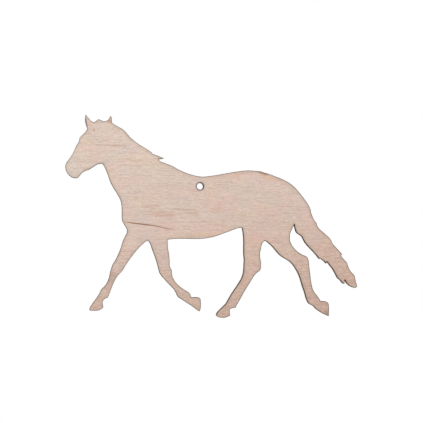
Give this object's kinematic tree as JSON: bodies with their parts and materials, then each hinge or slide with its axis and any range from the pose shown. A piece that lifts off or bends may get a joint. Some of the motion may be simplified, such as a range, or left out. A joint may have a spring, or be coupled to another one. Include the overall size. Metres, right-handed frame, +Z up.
{
  "type": "wooden horse ornament",
  "caption": "Flat trotting horse cut out of thin three-ply birch board, with a round hole in the withers for hanging it up.",
  "frame": {"origin": "on the axis of the hanging hole, at half the thickness of the board", "axes": "+X along the horse from its head to its tail, +Y through the board from its front to its back, +Z up as it hangs"},
  "size_m": [0.1, 0.003, 0.0695],
  "materials": {
    "face_veneer": "bare sanded birch veneer, grain along the horse",
    "core_veneer": "bare birch veneer, grain upright, edge browned by the cutting beam",
    "glue_line": "cured brown resin glue"
  },
  "bodies": {
    "root": {"front_face_veneer": "face_veneer", "front_glue_line": "glue_line", "core_veneer": "core_veneer", "back_glue_line": "glue_line", "back_face_veneer": "face_veneer"}
  },
  "joints": []
}
